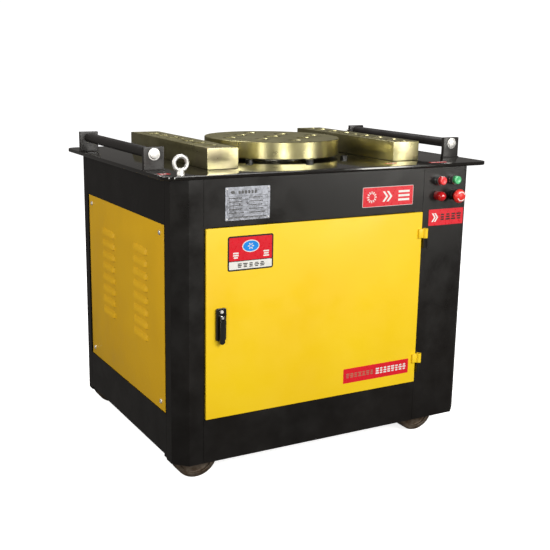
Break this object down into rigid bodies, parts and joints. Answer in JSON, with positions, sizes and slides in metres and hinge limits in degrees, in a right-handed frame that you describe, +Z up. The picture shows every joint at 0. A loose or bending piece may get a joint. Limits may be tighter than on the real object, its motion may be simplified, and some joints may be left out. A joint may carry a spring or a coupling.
{
  "type": "rebar bender",
  "caption": "Floor-standing powered bar bender: cabinet on wheels with a hinged door, and a table with a turning disc, drilled side blocks and guide rollers.",
  "frame": {"origin": "on the floor under the middle of the machine's overall box", "axes": "+Z up, -Y towards the front with the door and the push buttons, +X to the operator's right"},
  "size_m": [1.027, 0.8324, 0.873],
  "materials": {
    "black_paint": "semi-gloss black enamel with a slight orange peel",
    "yellow_paint": "semi-gloss golden yellow enamel",
    "table_black": "glossy black enamel on steel plate",
    "passivated_steel": "ground steel with yellow-olive zinc passivation",
    "dark_steel": "satin dark grey enamel",
    "bright_steel": "white zinc plate",
    "chrome": "polished",
    "red_plastic": "glossy red",
    "green_plastic": "glossy green",
    "lock_black": "black powder coat",
    "wheel_iron": "bare iron, brownish, worn bright on the tread",
    "cast_iron": "grey machine enamel on cast iron",
    "gear_steel": "oiled machined steel",
    "motor_grey": "blue-grey enamel",
    "belt_rubber": "matt black rubber"
  },
  "bodies": {
    "cabinet": {"base_frame": "black_paint", "front_left_post": "black_paint", "rear_left_post": "black_paint", "rear_right_post": "black_paint", "control_column": "black_paint", "front_upper_panel": "black_paint", "front_skirt": "black_paint", "rear_panel": "black_paint", "left_upper_panel": "black_paint", "left_lower_panel": "black_paint", "left_louvred_cover": "yellow_paint", "right_upper_panel": "black_paint", "right_lower_panel": "black_paint", "right_louvred_cover": "yellow_paint", "rear_cover": "yellow_paint", "table_plate": "table_black", "left_socket_block": "passivated_steel", "right_socket_block": "passivated_steel", "left_front_roller_bracket": "dark_steel", "left_rear_roller_bracket": "dark_steel", "left_roller_rod": "bright_steel", "right_front_roller_bracket": "dark_steel", "right_rear_roller_bracket": "dark_steel", "right_roller_rod": "bright_steel", "front_left_eye_bolt": "bright_steel", "rear_right_eye_bolt": "bright_steel", "emergency_stop_collar": "lock_black", "stop_button_collar": "chrome", "start_button_collar": "chrome", "pilot_lamp": "red_plastic", "front_left_wheel_fork": "black_paint", "front_right_wheel_fork": "black_paint", "rear_left_wheel_fork": "black_paint", "rear_right_wheel_fork": "black_paint", "gearbox_housing": "cast_iron", "gearbox_cover": "cast_iron", "drive_belt": "belt_rubber", "motor_housing": "motor_grey"},
    "disc_spindle": {"bending_disc": "passivated_steel", "main_shaft": "gear_steel", "output_gear": "gear_steel"},
    "layshaft_unit": {"layshaft": "gear_steel", "layshaft_gear": "gear_steel"},
    "input_unit": {"input_shaft": "gear_steel", "driven_pulley": "cast_iron"},
    "motor_rotor": {"motor_shaft": "gear_steel"},
    "left_roller": {"left_roller_tube": "dark_steel"},
    "right_roller": {"right_roller_tube": "dark_steel"},
    "door_leaf": {"door": "yellow_paint", "lock_housing": "lock_black"},
    "lock_turning": {"lock_spindle": "bright_steel"},
    "lock_handle": {"lock_lever": "lock_black"},
    "stop_button": {"stop_button_cap": "red_plastic"},
    "start_button": {"start_button_cap": "green_plastic"},
    "emergency_stop": {"emergency_stop_plunger": "red_plastic"},
    "emergency_stop_knob": {"emergency_stop_head": "red_plastic"},
    "front_left_roller_wheel": {"front_left_wheel": "wheel_iron"},
    "front_right_roller_wheel": {"front_right_wheel": "wheel_iron"},
    "rear_left_roller_wheel": {"rear_left_wheel": "wheel_iron"},
    "rear_right_roller_wheel": {"rear_right_wheel": "wheel_iron"}
  },
  "joints": [
    {"name": "disc_turn", "type": "hinge", "parent": "cabinet", "child": "disc_spindle", "pos_m": [-0.0125, -0.00075, 0.846], "axis": [0, 0, 1], "continuous": true},
    {"name": "layshaft_spin", "type": "hinge", "parent": "cabinet", "child": "layshaft_unit", "pos_m": [0.2125, -0.00075, 0.65], "axis": [0, 0, 1], "continuous": true},
    {"name": "input_spin", "type": "hinge", "parent": "cabinet", "child": "input_unit", "pos_m": [0.2125, -0.15075, 0.57], "axis": [0, 0, 1], "continuous": true},
    {"name": "motor_spin", "type": "hinge", "parent": "cabinet", "child": "motor_rotor", "pos_m": [-0.1625, -0.15075, 0.4], "axis": [0, 0, 1], "continuous": true},
    {"name": "left_roller_spin", "type": "hinge", "parent": "cabinet", "child": "left_roller", "pos_m": [-0.4825, 0.02875, 0.8555], "axis": [0, 1, 0], "continuous": true},
    {"name": "right_roller_spin", "type": "hinge", "parent": "cabinet", "child": "right_roller", "pos_m": [0.4825, 0.02875, 0.8555], "axis": [0, 1, 0], "continuous": true},
    {"name": "door_swing", "type": "hinge", "parent": "cabinet", "child": "door_leaf", "pos_m": [0.2825, -0.37985, 0.42], "axis": [0, 0, 1], "range_deg": [0, 120]},
    {"name": "lock_turn", "type": "hinge", "parent": "door_leaf", "child": "lock_turning", "pos_m": [-0.364, -0.37075, 0.449], "axis": [0, 1, 0], "range_deg": [0, 90]},
    {"name": "lock_lever_tilt", "type": "hinge", "parent": "lock_turning", "child": "lock_handle", "pos_m": [-0.364, -0.38925, 0.449], "axis": [-1, 0, 0], "range_deg": [0, 30]},
    {"name": "stop_button_press", "type": "slide", "parent": "cabinet", "child": "stop_button", "axis": [0, 1, 0], "range_m": [0, 0.004], "stiffness_N_per_m": 400},
    {"name": "start_button_press", "type": "slide", "parent": "cabinet", "child": "start_button", "axis": [0, 1, 0], "range_m": [0, 0.004], "stiffness_N_per_m": 400},
    {"name": "emergency_stop_press", "type": "slide", "parent": "cabinet", "child": "emergency_stop", "axis": [0, 1, 0], "range_m": [0, 0.005]},
    {"name": "emergency_stop_twist", "type": "hinge", "parent": "emergency_stop", "child": "emergency_stop_knob", "pos_m": [0.3775, -0.40075, 0.724], "axis": [0, -1, 0], "range_deg": [0, 45]},
    {"name": "front_left_wheel_roll", "type": "hinge", "parent": "cabinet", "child": "front_left_roller_wheel", "pos_m": [-0.4125, -0.31675, 0.0625], "axis": [0, 1, 0], "continuous": true},
    {"name": "front_right_wheel_roll", "type": "hinge", "parent": "cabinet", "child": "front_right_roller_wheel", "pos_m": [0.3185, -0.31675, 0.0625], "axis": [0, 1, 0], "continuous": true},
    {"name": "rear_left_wheel_roll", "type": "hinge", "parent": "cabinet", "child": "rear_left_roller_wheel", "pos_m": [-0.4125, 0.31525, 0.0625], "axis": [0, 1, 0], "continuous": true},
    {"name": "rear_right_wheel_roll", "type": "hinge", "parent": "cabinet", "child": "rear_right_roller_wheel", "pos_m": [0.3185, 0.31525, 0.0625], "axis": [0, 1, 0], "continuous": true}
  ],
  "couplings": [
    {"joint": "layshaft_spin", "follows": "disc_turn", "ratio": -4},
    {"joint": "input_spin", "follows": "disc_turn", "ratio": 16},
    {"joint": "motor_spin", "follows": "disc_turn", "ratio": 56.107}
  ]
}
